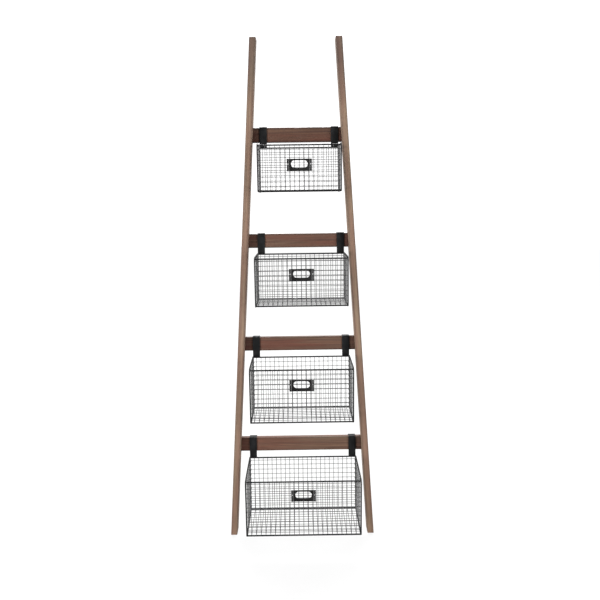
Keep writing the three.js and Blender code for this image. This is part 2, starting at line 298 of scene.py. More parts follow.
def add_loops(bm, loops, closed_ends=True, closed_path=False):
    """Skins a row of loops, each with the same number of points."""
    rings = [[bm.verts.new(point) for point in loop] for loop in loops]
    count = len(rings[0])
    pairs = list(zip(rings, rings[1:]))
    if closed_path:
        pairs.append((rings[-1], rings[0]))
    for below, above in pairs:
        for i in range(count):
            j = (i + 1) % count
            bm.faces.new((below[i], below[j], above[j], above[i]))
    if closed_ends and not closed_path:
        bm.faces.new(list(reversed(rings[0])))
        bm.faces.new(rings[-1])
    return rings


def ring_round(centre, across, up, radius, sides):
    angles = [2 * math.pi * i / sides for i in range(sides)]
    return [centre + radius * (math.cos(a) * across + math.sin(a) * up) for a in angles]


def add_tube(bm, path, radius, sides, fixed, closed=False):
    """A round bar along a flat path; `fixed` is the direction square to the path's plane."""
    loops = []
    count = len(path)
    for i, point in enumerate(path):
        before = path[i - 1] if closed or i > 0 else path[i]
        after = path[(i + 1) % count] if closed or i < count - 1 else path[i]
        across = fixed.cross(after - before).normalized()
        loops.append(ring_round(point, across, fixed, radius, sides))
    add_loops(bm, loops, closed_path=closed)


def add_lathe(bm, profile, sides, place=Matrix()):
    """A solid turned about z from (radius, z) points; the first and last lie on the axis."""
    first = bm.verts.new(place @ Vector((0, 0, profile[0][1])))
    last = bm.verts.new(place @ Vector((0, 0, profile[-1][1])))
    x_axis, y_axis = Vector((1, 0, 0)), Vector((0, 1, 0))
    loops = []
    for radius, z in profile[1:-1]:
        ring = ring_round(Vector((0, 0, z)), x_axis, y_axis, radius, sides)
        loops.append([place @ point for point in ring])
    rings = add_loops(bm, loops, closed_ends=False)
    for i in range(sides):
        j = (i + 1) % sides
        bm.faces.new((first, rings[0][j], rings[0][i]))
        bm.faces.new((last, rings[-1][i], rings[-1][j]))


def add_lump(bm, centre, size, seed):
    """A rounded, slightly uneven bead, such as a spot of weld under paint."""
    made = bmesh.ops.create_icosphere(bm, subdivisions=2, radius=1)
    for vertex in made["verts"]:
        uneven = 1 + 0.16 * noise.noise(vertex.co * 1.7 + Vector((seed, 0, 0)))
        vertex.co = centre + Vector(a * b for a, b in zip(vertex.co * uneven, size))


def rounded_path(corners, radii, steps):
    """A closed path through (a, b) corners, taken anticlockwise, with each corner rounded."""
    points = []
    count = len(corners)
    for i, corner in enumerate(corners):
        entering = (corner - corners[i - 1]).normalized()
        leaving = (corners[(i + 1) % count] - corner).normalized()
        start = Vector((entering.y, -entering.x))
        end = Vector((leaving.y, -leaving.x))
        centre = corner - radii[i] / (1 + start.dot(end)) * (start + end)
        first = math.atan2(start.y, start.x)
        turn = math.atan2(start.x * end.y - start.y * end.x, start.dot(end))
        for step in range(steps + 1):
            angle = first + turn * step / steps
            points.append(centre + radii[i] * Vector((math.cos(angle), math.sin(angle))))
    return points


def add_plate(bm, outline, holes, thickness):
    """A flat plate in x and y, with holes, from z = 0 up."""
    edges = []
    for loop in [outline, *holes]:
        verts = [bm.verts.new((p.x, p.y, 0)) for p in loop]
        edges += [bm.edges.new((a, b)) for a, b in zip(verts, verts[1:] + verts[:1])]
    filled = bmesh.ops.triangle_fill(bm, use_beauty=True, edges=edges)
    faces = [g for g in filled["geom"] if isinstance(g, bmesh.types.BMFace)]
    raised = bmesh.ops.extrude_face_region(bm, geom=faces)
    verts = [g for g in raised["geom"] if isinstance(g, bmesh.types.BMVert)]
    bmesh.ops.translate(bm, verts=verts, vec=(0, 0, thickness))
    # the first fill now closes the back of the plate


def add_prism(bm, outline, start, end):
    """A closed outline in y and z, extruded along x."""
    loops = [[Vector((x, p.x, p.y)) for p in outline] for x in (start, end)]
    add_loops(bm, loops)


# ---- Materials ----


def feed(tree, socket, value):
    """Links an output to a node's input, or sets the input to a constant."""
    if isinstance(value, bpy.types.NodeSocket):
        tree.links.new(value, socket)
    else:
        socket.default_value = value


class Surface:
    """A material with a Principled shader, and short ways to add nodes in front of it."""

    def __init__(self, name, **constants):
        self.material = bpy.data.materials.new(name)
        self.material.use_nodes = True
        self.tree = self.material.node_tree
        self.shader = self.tree.nodes["Principled BSDF"]
        for key, value in constants.items():
            self.shader.inputs[key.replace("_", " ")].default_value = value

    def add(self, kind, output=0, inputs=None, **settings):
        node = self.tree.nodes.new("ShaderNode" + kind)
        for key, value in settings.items():
            setattr(node, key, value)
        for key, value in (inputs or {}).items():
            feed(self.tree, node.inputs[key], value)
        return node.outputs[output]

    def math(self, operation, a, b=0.0, c=0.0):
        return self.add("Math", inputs={0: a, 1: b, 2: c}, operation=operation)

    def objectwise(self, scale, location=(0, 0, 0)):
        """Coordinates along the piece's own axes, scaled and moved."""
        coordinates = self.add("TexCoord", output="Object")
        inputs = {"Vector": coordinates, "Location": location, "Scale": scale}
        return self.add("Mapping", inputs=inputs)

    def noise(self, scale, location=(0, 0, 0), detail=2.0, roughness=0.5):
        """Noise from 0 to 1 whose features are 1/scale metres long in each direction."""
        vector = self.objectwise(scale, location)
        inputs = {"Vector": vector, "Scale": 1.0, "Detail": detail, "Roughness": roughness}
        return self.add("TexNoise", inputs=inputs)

    def ramp(self, factor, *stops):
        """Each stop is a position, and a grey or a colour."""
        node = self.tree.nodes.new("ShaderNodeValToRGB")
        self.tree.links.new(factor, node.inputs["Fac"])
        elements = node.color_ramp.elements
        while len(elements) < len(stops):
            elements.new(0.5)
        for element, (position, value) in zip(elements, stops):
            element.position = position
            colour = value if isinstance(value, tuple) else (value,) * 3
            element.color = (*colour, 1)
        return node.outputs["Color"]

    def mix(self, factor, a, b, blend="MIX"):
        a, b = (v if isinstance(v, bpy.types.NodeSocket) else (*v, 1) for v in (a, b))
        node = self.tree.nodes.new("ShaderNodeMix")
        node.data_type = "RGBA"
        node.blend_type = blend
        for key, value in ((0, factor), (6, a), (7, b)):  # the sockets of a colour mix
            feed(self.tree, node.inputs[key], value)
        return node.outputs[2]

    def attribute(self, name):
        return self.add("Attribute", output="Fac", attribute_name=name)

    def darken(self, tone, marks, weight, tint):
        """Multiplies a tone by a tint where there are marks."""
        return self.mix(self.math("MULTIPLY", marks, weight), tone, tint, "MULTIPLY")

    def use(self, key, value):
        self.tree.links.new(value, self.shader.inputs[key])

    def bump(self, *layers):
        """Each layer is a height from 0 to 1 and how many metres a full step stands."""
        normal = None
        for height, distance in layers:
            inputs = {"Height": height, "Distance": distance, "Strength": 1.0}
            if normal is not None:
                inputs["Normal"] = normal
            normal = self.add("Bump", inputs=inputs)
        self.use("Normal", normal)


def wood(name, seed, pale, deep, red, pith, shades):
    """Stained softwood along a piece's own z axis: growth rings, fibres, pores, uneven stain and
    painted shade on its edges.
    Each shade is (axis, where on it the shade starts, where it is full, its colour)."""
    s = Surface(name, Specular_IOR_Level=0.25)
    here = (seed * 3.1, seed * 1.7, seed * 0.9)
    # growth rings about a pith that lies off the board, bent slowly along its length
    coordinates = s.objectwise((1, 1, 1), (pith[0], pith[1], 0))
    waves = {"Vector": s.objectwise((9, 9, 1.3), here), "Scale": 1.0, "Detail": 2.0}
    bend = s.add("TexNoise", output="Color", inputs=waves)
    bend = s.add("VectorMath", inputs={0: bend, 1: (0.5, 0.5, 0.5)}, operation="SUBTRACT")
    bend = s.add("VectorMath", inputs={0: bend, 1: (0.03, 0.03, 0)}, operation="MULTIPLY")
    bent = s.add("VectorMath", inputs={0: coordinates, 1: bend}, operation="ADD")
    flat = s.add("VectorMath", inputs={0: bent, 1: (1, 1, 0)}, operation="MULTIPLY")
    radius = s.add("VectorMath", output="Value", inputs={0: flat}, operation="LENGTH")
    uneven = s.math("MULTIPLY", s.noise((60, 60, 2), here), 1.4)
    turns = s.math("ADD", s.math("MULTIPLY", radius, RINGS_PER_METRE), uneven)
    ring = s.math("FRACT", turns)
    late = s.ramp(ring, (0.0, 0.05), (0.45, 0.2), (0.86, 1.0), (0.93, 0.85), (1.0, 0.05))
    # fibres, pores and stain
    fibre = s.noise((900, 900, 11), here, detail=3.0, roughness=0.65)
    streak = s.noise((170, 170, 2.2), here, detail=3.0)
    pore = s.ramp(s.noise((2100, 2100, 38), here), (0.6, 0.0), (0.72, 1.0))
    patch = s.ramp(s.noise((48, 48, 3.4), here, detail=3.0), (0.4, 0.0), (0.58, 1.0))
    tone = s.mix(s.ramp(streak, (0.34, 0.0), (0.68, 1.0)), pale, deep)
    tone = s.mix(s.math("MULTIPLY", patch, 0.8), tone, red)
    tone = s.darken(tone, late, 0.38, RING_TINT)
    grain = s.ramp(fibre, (0.3, 0.72), (0.7, 1.22))
    tone = s.mix(1.0, tone, grain, "MULTIPLY")
    tone = s.darken(tone, pore, 0.5, PORE_TINT)
    tone = s.darken(tone, s.attribute("worn"), 0.5, WORN_TINT)
    # painted shade on the eased edges, fading over the flat faces near them
    tone = s.darken(tone, s.attribute("edge"), 0.7, EDGE_SHADE_TINT)
    # each shade multiplies the tone along one axis; the rungs' end shades are painted shadow
    for axis, start, full, shade in shades:
        place = s.add("SeparateXYZ", output=axis, inputs={0: s.add("TexCoord", output="Object")})
        fade = s.add("MapRange", inputs={0: place, 1: start, 2: full})
        tone = s.mix(fade, tone, shade, "MULTIPLY")
    s.use("Base Color", tone)
    rough = s.math("ADD", s.math("MULTIPLY", fibre, 0.25), 0.48)
    s.use("Roughness", rough)
    hair = s.math("SUBTRACT", fibre, s.math("MULTIPLY", pore, 0.8))
    s.bump((late, 0.00006), (hair, 0.00022))
    return s.material


def black_steel(name, base, peel, rough, sheen):
    """Satin black powder coat: fine orange peel, a little dust, and a painted highlight where a
    piece is marked for it.
    """
    s = Surface(name, Specular_IOR_Level=sheen)
    dust = s.ramp(s.noise((45, 45, 45), detail=4.0), (0.42, 0.0), (0.75, 1.0))
    speck = s.ramp(s.noise((1400, 1400, 1400), detail=1.0), (0.66, 0.0), (0.78, 1.0))
    grey = tuple(c * 2.4 + 0.006 for c in base)  # the colour of the dust on it
    tone = s.mix(s.math("MULTIPLY", dust, 0.45), base, grey)
    tone = s.mix(s.math("MULTIPLY", speck, 0.3), tone, grey)
    # painted highlight: light grey along the label channels' lips
    tone = s.mix(s.attribute("lip_highlight"), tone, LIP_HIGHLIGHT_TONE)
    s.use("Base Color", tone)
    s.use("Roughness", s.math("ADD", s.math("MULTIPLY", dust, 0.16), rough))
    s.bump((s.noise((900, 900, 900), detail=2.0), peel))
    return s.material


def zinc_steel(name):
    """Plated screw steel with turning marks."""
    s = Surface(name, Metallic=1.0)
    blotch = s.noise((500, 500, 500), detail=3.0)
    s.use("Base Color", s.ramp(blotch, (0.3, ZINC_TONES[0]), (0.75, ZINC_TONES[1])))
    s.use("Roughness", s.math("ADD", s.math("MULTIPLY", blotch, 0.3), 0.35))
    s.bump((s.noise((2500, 2500, 2500)), 0.00005))
    return s.material


# ---- Boards ----


def board_outline(half_x, half_y, inset):
    """The section of a board with eased edges, as (point, how far into the easing it is, how near
    to an edge it is)."""
    radius = EDGE_RADIUS
    arc_steps = 6
    points = []
    for turn, (sx, sy) in enumerate(((1, 1), (-1, 1), (-1, -1), (1, -1))):
        centre = Vector((sx * (half_x - radius), sy * (half_y - radius)))
        for step in range(arc_steps + 1):
            angle = math.pi / 2 * (turn + step / arc_steps)
            arm = Vector((math.cos(angle), math.sin(angle)))
            near = math.sin(math.pi * (step + 1) / (arc_steps + 2))
            points.append((centre + arm * (radius - inset), near, 1.0))
        if turn % 2 == 0:
            along, length = Vector((-sx, 0)), 2 * (half_x - radius)
        else:
            along, length = Vector((0, -sy)), 2 * (half_y - radius)
        count = int(length / FLAT_PITCH)
        start = points[-1][0]
        for i in range(1, count):
            gap = length * min(i, count - i) / count
            points.append((start + along * length * i / count, 0.0, math.exp(-gap / EDGE_SHADE_FADE)))
    return points


def board(half_x, half_y, low, high, seed):
    """A board along z; low and high are the planes of its ends as (z, slope in x, slope in y)."""
    bm = bmesh.new()
    worn_layer = bm.verts.layers.float.new("worn")
    # how near each point is to an edge, for the painted shade there
    edge_shade_layer = bm.verts.layers.float.new("edge")
    length = high[0] - low[0]
    stations = max(2, round(length / STATION_PITCH))
    ease = [0, 0.26, 0.52, 0.79, 1.05, 1.31, math.pi / 2]  # angles round the eased ends
    levels = [(0, END_RADIUS * (1 - math.cos(a)), END_RADIUS * (1 - math.sin(a))) for a in ease]
    levels += [(i / stations, 0, 0) for i in range(1, stations)]
    levels += [(1, -up, inset) for _, up, inset in reversed(levels[: len(ease)])]
    loops, marks = [], []
    for share, up, inset in levels:
        loop = []
        for point, near, edge in board_outline(half_x, half_y, inset):
            bottom = low[0] + low[1] * point.x + low[2] * point.y
            top = high[0] + high[1] * point.x + high[2] * point.y
            z = bottom + (top - bottom) * share + up
            where = Vector((point.x * 40, point.y * 40, z * 22 + seed * 7))
            dent = max(0.0, noise.noise(where) + 0.12)
            chip = max(0.0, noise.noise(where * 4.3) - 0.28)
            depth = near * (0.12 + 0.5 * dent + 0.9 * chip) * MM
            inward = Vector((point.x, point.y)).normalized() * depth
            loop.append(Vector((point.x - inward.x, point.y - inward.y, z)))
            marks.append((min(1.0, near * (0.35 + 1.1 * dent + 1.5 * chip)), edge))
        loops.append(loop)
    rings = add_loops(bm, loops)
    for vertex, (worn, edge) in zip((v for ring in rings for v in ring), marks):
        vertex[worn_layer] = worn
        vertex[edge_shade_layer] = edge
    return bm


def screw_profile(margin):
    """(radius, z) points of a countersunk screw that points along +z; a margin makes its hole."""
    mouth = -HOLE_MOUTH if margin else 0.0
    head, shank = SCREW_HEAD_RADIUS + margin, SCREW_RADIUS + margin
    profile = [(0, mouth), (head, mouth), (head, SCREW_RIM), (shank, SCREW_HEAD_HEIGHT)]
    return profile + [(shank, SCREW_SHANK), (0, SCREW_LENGTH + margin)]


def screw_axes(screw):
    """The screw's own axes: z points into the rung, from the head's face."""
    low, high = box_in(screw.node, LADDER)
    middle = (low + high) / 2
    face = Vector((low.x if screw.side < 0 else high.x, middle.y, middle.z))
    turn = Matrix.Rotation(-screw.side * math.pi / 2, 4, "Y")
    return LADDER @ Matrix.Translation(face) @ turn


Screw = namedtuple("Screw", "node rung side")
SCREWS = [
    Screw(f"rung_{number}_screw_{name}_{level}", number, side)
    for number in BASKET_NUMBERS
    for name, side in SIDES
    for level in ("upper", "lower")
]


def cut_screw_holes(bm, axes, screws):
    """Cuts the screws' holes into a board that has these axes."""
    cutter = bmesh.new()
    for screw in screws:
        place = axes.inverted() @ screw_axes(screw)
        add_lathe(cutter, screw_profile(HOLE_CLEARANCE), HOLE_SIDES, place)
    return subtract(bm, cutter)


def rail_axes(node, side):
    """A rail's own axes (x across, y back, z up along its middle), half its size, and how far it
    slopes inwards for each metre up."""
    points = in_axes(node, LADDER)
    foot = max(points, key=lambda p: side * p.x)
    top = max(points, key=lambda p: p.z + side * p.x / 2)
    slope = side * (foot.x - top.x) / (top.z - foot.z)
    tilt = Matrix.Rotation(-side * math.atan(slope), 4, "Y")
    corner = Matrix.Translation((foot.x + side * slope * foot.z, 0, 0))
    outer = LADDER @ corner @ tilt
    low, high = box_in(node, outer)
    middle = Vector(((low.x + high.x) / 2, (low.y + high.y) / 2, 0))
    return outer @ Matrix.Translation(middle), (high - low) / 2, slope


def level_cut(axes, height):
    """The level plane at a height, as a board's end in its own axes."""
    row = axes[2]
    return ((height - row[3]) / row[2], -row[0] / row[2], -row[1] / row[2])


def make_rail(name, side, seed, material):
    """A board in the rail's own axes, its ends cut level with the floor."""
    node = f"{name}_rail"
    axes, half, _ = rail_axes(node, side)
    low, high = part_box(node)
    ends = level_cut(axes, low.z), level_cut(axes, high.z)
    screws = [screw for screw in SCREWS if screw.side == side]
    bm = cut_screw_holes(board(half.x, half.y, *ends, seed), axes, screws)
    finish_piece(bm, f"{node}_board", "ladder", material, [node], axes)


def make_rung(number, seed, material):
    """A rung's own axes: x back, y up, z to the right."""
    node = f"rung_{number}"
    low, high = box_in(node, LADDER)
    middle = (low + high) / 2
    turn = Matrix(((0, 0, 1, 0), (1, 0, 0, 0), (0, 1, 0, 0), (0, 0, 0, 1)))
    axes = LADDER @ Matrix.Translation(middle) @ turn
    half = (high - low) / 2
    slope = rail_axes("left_rail", -1)[2]
    reach = half.x - slope * half.z
    ends = (-reach, 0, slope), (reach, 0, -slope)
    screws = [screw for screw in SCREWS if screw.rung == number]
    bm = cut_screw_holes(board(half.y, half.z, *ends, seed), axes, screws)
    finish_piece(bm, f"{node}_board", "ladder", material, [node], axes)


def make_screws(material):
    """Countersunk screws with a cross recess, all from one mesh."""
    recess = bmesh.new()
    for turn in (0, math.pi / 2):
        for vertex in bmesh.ops.create_cube(recess, size=1)["verts"]:
            length, width, z = RECESS_FLOOR if vertex.co.z > 0 else RECESS_MOUTH
            corner = Vector((vertex.co.x * length, vertex.co.y * width, z)) * MM
            vertex.co = Matrix.Rotation(turn, 3, "Z") @ corner
    # remeshed, the two crossing bars are one closed solid
    recess = to_bmesh(with_modifier(recess, "REMESH", mode="VOXEL", voxel_size=0.1 * MM))
    bm = bmesh.new()
    add_lathe(bm, screw_profile(0), SCREW_SIDES)
    bm = bevelled(subtract(bm, recess), SCREW_EDGE, segments=2, angle=30)
    shared = bpy.data.meshes.new("screw")
    bmesh.ops.recalc_face_normals(bm, faces=bm.faces)
    bm.to_mesh(shared)
    bm.free()
    rng = random.Random(5)
    for screw in SCREWS:
        axes = screw_axes(screw) @ Matrix.Rotation(rng.uniform(0, math.pi / 2), 4, "Z")
        name, replaced = f"{screw.node}_steel", [screw.node]
        place_piece(shared, name, "ladder", material, replaced, axes)


# ---- Baskets ----


class Basket:
    """Where one basket's rods run, read off its CAD frame. Its own axes are level, with x across
    and y back, from the middle of its back rim."""

    def __init__(self, number):
        low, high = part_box(f"basket_{number}_frame")
        self.number = number
        self.body = f"basket_{number}"
        self.half_width = (high.x - low.x) / 2 - ROD_RADIUS
        self.height = high.z - low.z - 2 * ROD_RADIUS
        back_bulge = ROD_RADIUS + SMALL_BEND * (1 - math.tan(LEAN) - 1 / math.cos(LEAN))
        corner = Vector(((low.x + high.x) / 2, high.y - back_bulge, high.z - ROD_RADIUS))
        self.depth = corner.y - low.y - ROD_RADIUS
        self.foot = -self.height * math.tan(LEAN)  # the y of the back's lower corner
        self.axes = Matrix.Translation(corner)
        front, floor = -self.depth, -self.height
        corners = ((0, 0), (front, 0), (front, floor), (self.foot, floor))
        self.corners = [Vector(c) for c in corners]
        self.radii = [SMALL_BEND, FRONT_TOP_BEND, SMALL_BEND, SMALL_BEND]

    def cross_rods(self):
        """The (y, z) of the four rods across the basket: each in the middle of a bend."""
        bends = rounded_path(self.corners, self.radii, 2)
        return [bends[3 * i + 1] for i in range(4)]

    def nodes(self, *parts):
        return [f"basket_{self.number}_{part}" for part in parts]


def make_rods(basket, material):
    """The two bent side loops, the four rods between them, and their weld beads."""
    bm = bmesh.new()
    outline = rounded_path(basket.corners, basket.radii, 10)
    along = Vector((1, 0, 0))
    for side in (-1, 1):
        x = side * basket.half_width
        path = [Vector((x, p.x, p.y)) for p in outline]
        add_tube(bm, path, ROD_RADIUS, ROD_SIDES, along, closed=True)
    steps = 8
    for i, place in enumerate(basket.cross_rods()):
        reach = basket.half_width
        places = [reach * (2 * step / steps - 1) for step in range(steps + 1)]
        path = [Vector((x, place.x, place.y)) for x in places]
        add_tube(bm, path, ROD_RADIUS, ROD_SIDES, Vector((0, 0, 1)))
        for side in (-1, 1):
            bead = Vector((side * (reach - WELD_INSET), place.x, place.y))
            add_lump(bm, bead, WELD_BEAD, basket.number * 10 + i * 2 + side)
    name = f"basket_{basket.number}_rods"
    replaced = basket.nodes("frame")
    axes = basket.axes
    finish_piece(bm, name, basket.body, material, replaced, axes, sharp=50)


def spread(low, high, pitch, middle):
    """Places a pitch apart that lie between low and high, with one at the middle."""
    first = math.ceil((low - middle) / pitch)
    last = math.floor((high - middle) / pitch)
    return [middle + pitch * i for i in range(first, last + 1)]


def crossing(polygon, axis, value):
    """Where the line at `value` on one axis enters and leaves a convex polygon, on the other."""
    found = []
    for a, b in zip(polygon, polygon[1:] + polygon[:1]):
        if (a[axis] - value) * (b[axis] - value) <= 0 and a[axis] != b[axis]:
            share = (value - a[axis]) / (b[axis] - a[axis])
            found.append(a[1 - axis] + share * (b[1 - axis] - a[1 - axis]))
    return (min(found), max(found)) if len(found) > 1 else None


def add_weld(bm, centre, axes, radius):
    """A small octahedron round two wires that cross."""
    tips = []
    for direction, share in zip(axes, WIRE_WELD):
        tips.append([bm.verts.new(centre + direction * share * radius * s) for s in (-1, 1)])
    for i, j, k in product((0, 1), repeat=3):
        bm.faces.new((tips[0][i], tips[1][j], tips[2][k]))


def add_wires(bm, polygon, places, to_space, radius, seed):
    """Welded wire mesh inside a convex polygon of (u, v): `places` are the v of the wires along
    u, and the u of the wires along v. to_space takes u, v and the height off the mesh."""
    origin = to_space(0, 0, 0)
    axes = [to_space(*unit) - origin for unit in ((1, 0, 0), (0, 1, 0), (0, 0, 1))]
    normal = axes[2].normalized()
    welds = []
    for axis, values, others, layer in (
        (1, places[0], places[1], -WIRE_LAYER),
        (0, places[1], places[0], WIRE_LAYER),
    ):
        for index, value in enumerate(values):
            ends = crossing(polygon, axis, value)
            if not ends or ends[1] - ends[0] < SHORTEST_WIRE:
                continue
            inner = [v for v in others if ends[0] + MM < v < ends[1] - MM]
            path = []
            for along in [ends[0], *inner, ends[1]]:
                wander = noise.noise(Vector((along * 14, index * 3.7, seed + axis * 11.3)))
                across = value + WIRE_WANDER * wander
                uv = (along, across) if axis == 1 else (across, along)
                path.append(uv)
                if axis == 1 and along in inner:
                    welds.append(uv)
            points = [to_space(u, v, layer) for u, v in path]
            sideways = (points[-1] - points[0]).normalized().cross(normal)
            add_loops(bm, [ring_round(p, sideways, normal, radius, WIRE_SIDES) for p in points])
    for u, v in welds:
        add_weld(bm, to_space(u, v, 0), axes, radius)


def make_mesh(basket, part, polygon, rows, columns, to_space, material, radius=WIRE_RADIUS):
    """One panel of a basket."""
    bm = bmesh.new()
    seed = basket.number * 5 + len(part)
    add_wires(bm, polygon, (rows, columns), to_space, radius, seed)
    name = f"basket_{basket.number}_wires_{part}"
    replaced = basket.nodes(f"mesh_{part}")
    axes = basket.axes
    finish_piece(bm, name, basket.body, material, replaced, axes, sharp=60)


def make_meshes(basket, material):
    """The five panels. The front, floor and back share their columns, and all sides their rows."""
    half, depth, height, foot = basket.half_width, basket.depth, basket.height, basket.foot
    columns = spread(-half + SIDE_CLEARANCE, half - SIDE_CLEARANCE, COLUMN_PITCH, 0)
    rows = spread(-height + CORNER_CLEARANCE, -CORNER_CLEARANCE, ROW_PITCH, -height + ROW_PITCH)
    lines = spread(-depth + CORNER_CLEARANCE, foot - BACK_CLEARANCE, ROW_PITCH, -depth + ROW_PITCH)
    rods = basket.cross_rods()
    wide = half + WIRE_REACH

    def rectangle(low, high):
        return [(-wide, low), (wide, low), (wide, high), (-wide, high)]

    front = rectangle(rods[2].y - WIRE_REACH, rods[1].y + WIRE_REACH)

    def front_space(u, v, w):
        return Vector((u, -depth + MESH_DEPTH - w, v))

    make_mesh(basket, "front", front, rows, columns, front_space, material)

    floor = rectangle(rods[2].x - WIRE_REACH, rods[3].x + WIRE_REACH)

    def floor_space(u, v, w):
        return Vector((u, v, -height + MESH_DEPTH - w))

    make_mesh(basket, "floor", floor, lines, columns, floor_space, material)

    back_length = height / math.cos(LEAN)
    back_rows = [row / math.cos(LEAN) for row in rows]
    back = rectangle(-back_length + BACK_INSET, -BACK_INSET)
    lean_out = Vector((0, math.cos(LEAN), -math.sin(LEAN)))
    lean_up = Vector((0, math.sin(LEAN), math.cos(LEAN)))

    def back_space(u, v, w):
        return Vector((u, 0, 0)) + lean_up * v - lean_out * (MESH_DEPTH - w)

    make_mesh(basket, "back", back, back_rows, columns, back_space, material)

    outline = [(p.x, p.y) for p in rounded_path(basket.corners, basket.radii, 6)]
    for part, side in SIDES:

        def side_space(u, v, w, side=side):
            return Vector((side * (half - MESH_DEPTH + w), u, v))

        make_mesh(basket, part, outline, rows, lines, side_space, material, SIDE_WIRE_RADIUS)


def make_hook(basket, part, material):
    """A flat strap bent over the rung. Its own axes are the ladder's, from the rung's top edge."""
    node = f"basket_{basket.number}_hook_{part}"
    rung_low, rung_high = box_in(f"rung_{basket.number}", LADDER)
    axes = LADDER @ Matrix.Translation((0, rung_low.y, rung_high.z))
    low, high = box_in(node, axes)
    thickness = high.z - CAD_GAP
    front, rear = low.y + thickness, high.y - thickness
    bend = high.z - thickness - STRAP_BEND
    outer = STRAP_BEND + thickness

    def arc(y, radius, start, end):
        steps = 8
        angles = [start + (end - start) * i / steps for i in range(steps + 1)]
        return [Vector((y + radius * math.cos(a), bend + radius * math.sin(a))) for a in angles]

    right, top, left = 0, math.pi / 2, math.pi
    outline = [Vector((low.y, low.z)), Vector((front, low.z))]
    outline += arc(front + STRAP_BEND, STRAP_BEND, left, top)
    outline += arc(rear - STRAP_BEND, STRAP_BEND, top, right)
    outline += [Vector((rear, -STRAP_LIP)), Vector((high.y, -STRAP_LIP))]
    outline += arc(rear - STRAP_BEND, outer, right, top)
    outline += arc(front + STRAP_BEND, outer, top, left)
    bm = bmesh.new()
    add_prism(bm, outline, low.x, high.x)
    bm = bevelled(bm, STRAP_EDGE, segments=3, angle=50)
    # the welds that hold the rim rod in the strap's foot
    rod_height = low.z + ROD_RADIUS
    forward, rise = STRAP_WELD_PLACE
    for i, x in enumerate((low.x + STRAP_WELD_INSET, high.x - STRAP_WELD_INSET)):
        for j, up in enumerate((-1, 1)):
            centre = Vector((x, low.y - forward, rod_height + up * rise))
            add_lump(bm, centre, STRAP_WELD, basket.number + i + 2 * j)
    name = f"{node}_strap"
    finish_piece(bm, name, basket.body, material, [node], axes, sharp=40)


def rounded_box(reach, low, high, radius, steps):
    """A closed outline in x and y, from -reach to reach and from low to high."""
    corners = ((-reach, low), (reach, low), (reach, high), (-reach, high))
    return rounded_path([Vector(c) for c in corners], [radius] * 4, steps)


def label_window(extra):
    """The outline of a label holder's window, or of one that much bigger all round."""
    low = WINDOW_RISE - WINDOW_HALF_HEIGHT - extra
    high = WINDOW_RISE + WINDOW_HALF_HEIGHT + extra
    return rounded_box(WINDOW_HALF_WIDTH + extra, low, high, WINDOW_RADIUS + extra, 10)


def label_channels(half_width, half_height):
    """The plate's ends turned forward and back over themselves, with a painted highlight along
    their lips.
    """
    outer = LABEL_DEPTH / 2
    inner = outer - LABEL_SHEET
    end = half_width - outer
    start = half_width - LABEL_CHANNEL
    lip = start + LABEL_LIP
    steps = 8
    angles = [-math.pi / 2 + math.pi * i / steps for i in range(1, steps)]

    def curl(radius, angles):
        return [(end + radius * math.cos(a), outer + radius * math.sin(a)) for a in angles]

    profile = [(start - LABEL_TUCK, 0), (end, 0), *curl(outer, angles)]
    profile += [(x, LABEL_DEPTH) for x in (end, lip + LABEL_LIP_FADE, lip, start)]
    profile += [(start, LABEL_DEPTH - LABEL_SHEET), *curl(inner, reversed(angles))]
    profile += [(end, LABEL_SHEET), (start - LABEL_TUCK, LABEL_SHEET)]
    bm = bmesh.new()
    for side in (-1, 1):
        ends = (-half_height, half_height)
        add_loops(bm, [[Vector((side * x, y, z)) for x, z in profile] for y in ends])
    # marks a painted highlight along the edge of each channel, where the fold catches the side
    # light
    lip_highlight = bm.verts.layers.float.new("lip_highlight")
    for vertex in bm.verts:
        near_lip = abs(vertex.co.x) < lip + 0.1 * MM and vertex.co.z > LABEL_PLATE
        vertex[lip_highlight] = 1.0 if near_lip else 0.0
    return bm


def label_pins(half_width):
    """What the pins' holes are cut with, through the middle of each channel."""
    low, high = PIN_REACH
    profile = [(0, low), (PIN_RADIUS, low), (PIN_RADIUS, high), (0, high)]
    bm = bmesh.new()
    for side in (-1, 1):
        x = side * (half_width - LABEL_CHANNEL / 2)
        add_lathe(bm, profile, PIN_SIDES, Matrix.Translation((x, WINDOW_RISE, 0)))
    return bm


def make_label_holder(basket, material):
    """A pressed plate with a round-ended window and a folded channel at each end. Its own axes:
    x to the right, y up, z forward from the back of the plate."""
    node = f"basket_{basket.number}_label_holder"
    low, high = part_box(node)
    middle = (low + high) / 2
    half_width, half_height = (high.x - low.x) / 2, (high.z - low.z) / 2
    back = high.y + CAD_GAP
    axes = Matrix(((1, 0, 0, middle.x), (0, 0, -1, back), (0, 1, 0, middle.z), (0, 0, 0, 1)))

    plate = bmesh.new()
    body = half_width - LABEL_FOLD
    outline = rounded_box(body, -half_height, half_height, LABEL_CORNER, 3)
    add_plate(plate, outline, [label_window(0)], LABEL_PLATE)
    # a raised rim pressed up around the window
    rim = bmesh.new()
    thickness = LABEL_PLATE + LABEL_RIM_HEIGHT
    add_plate(rim, label_window(LABEL_RIM), [label_window(0)], thickness)
    pins = label_pins(half_width)
    channels = subtract(label_channels(half_width, half_height), pins.copy())
    plate = subtract(plate, pins)
    joined = bmesh.new()
    for part, width in ((rim, 0.25), (channels, 0.16), (plate, 0.2)):
        joined.from_mesh(with_modifier(part, "BEVEL", **bevel_settings(width * MM, 2, 45)))
    name = f"{node}_plate"
    finish_piece(joined, name, basket.body, material, [node], axes)


# ---- Studio ----


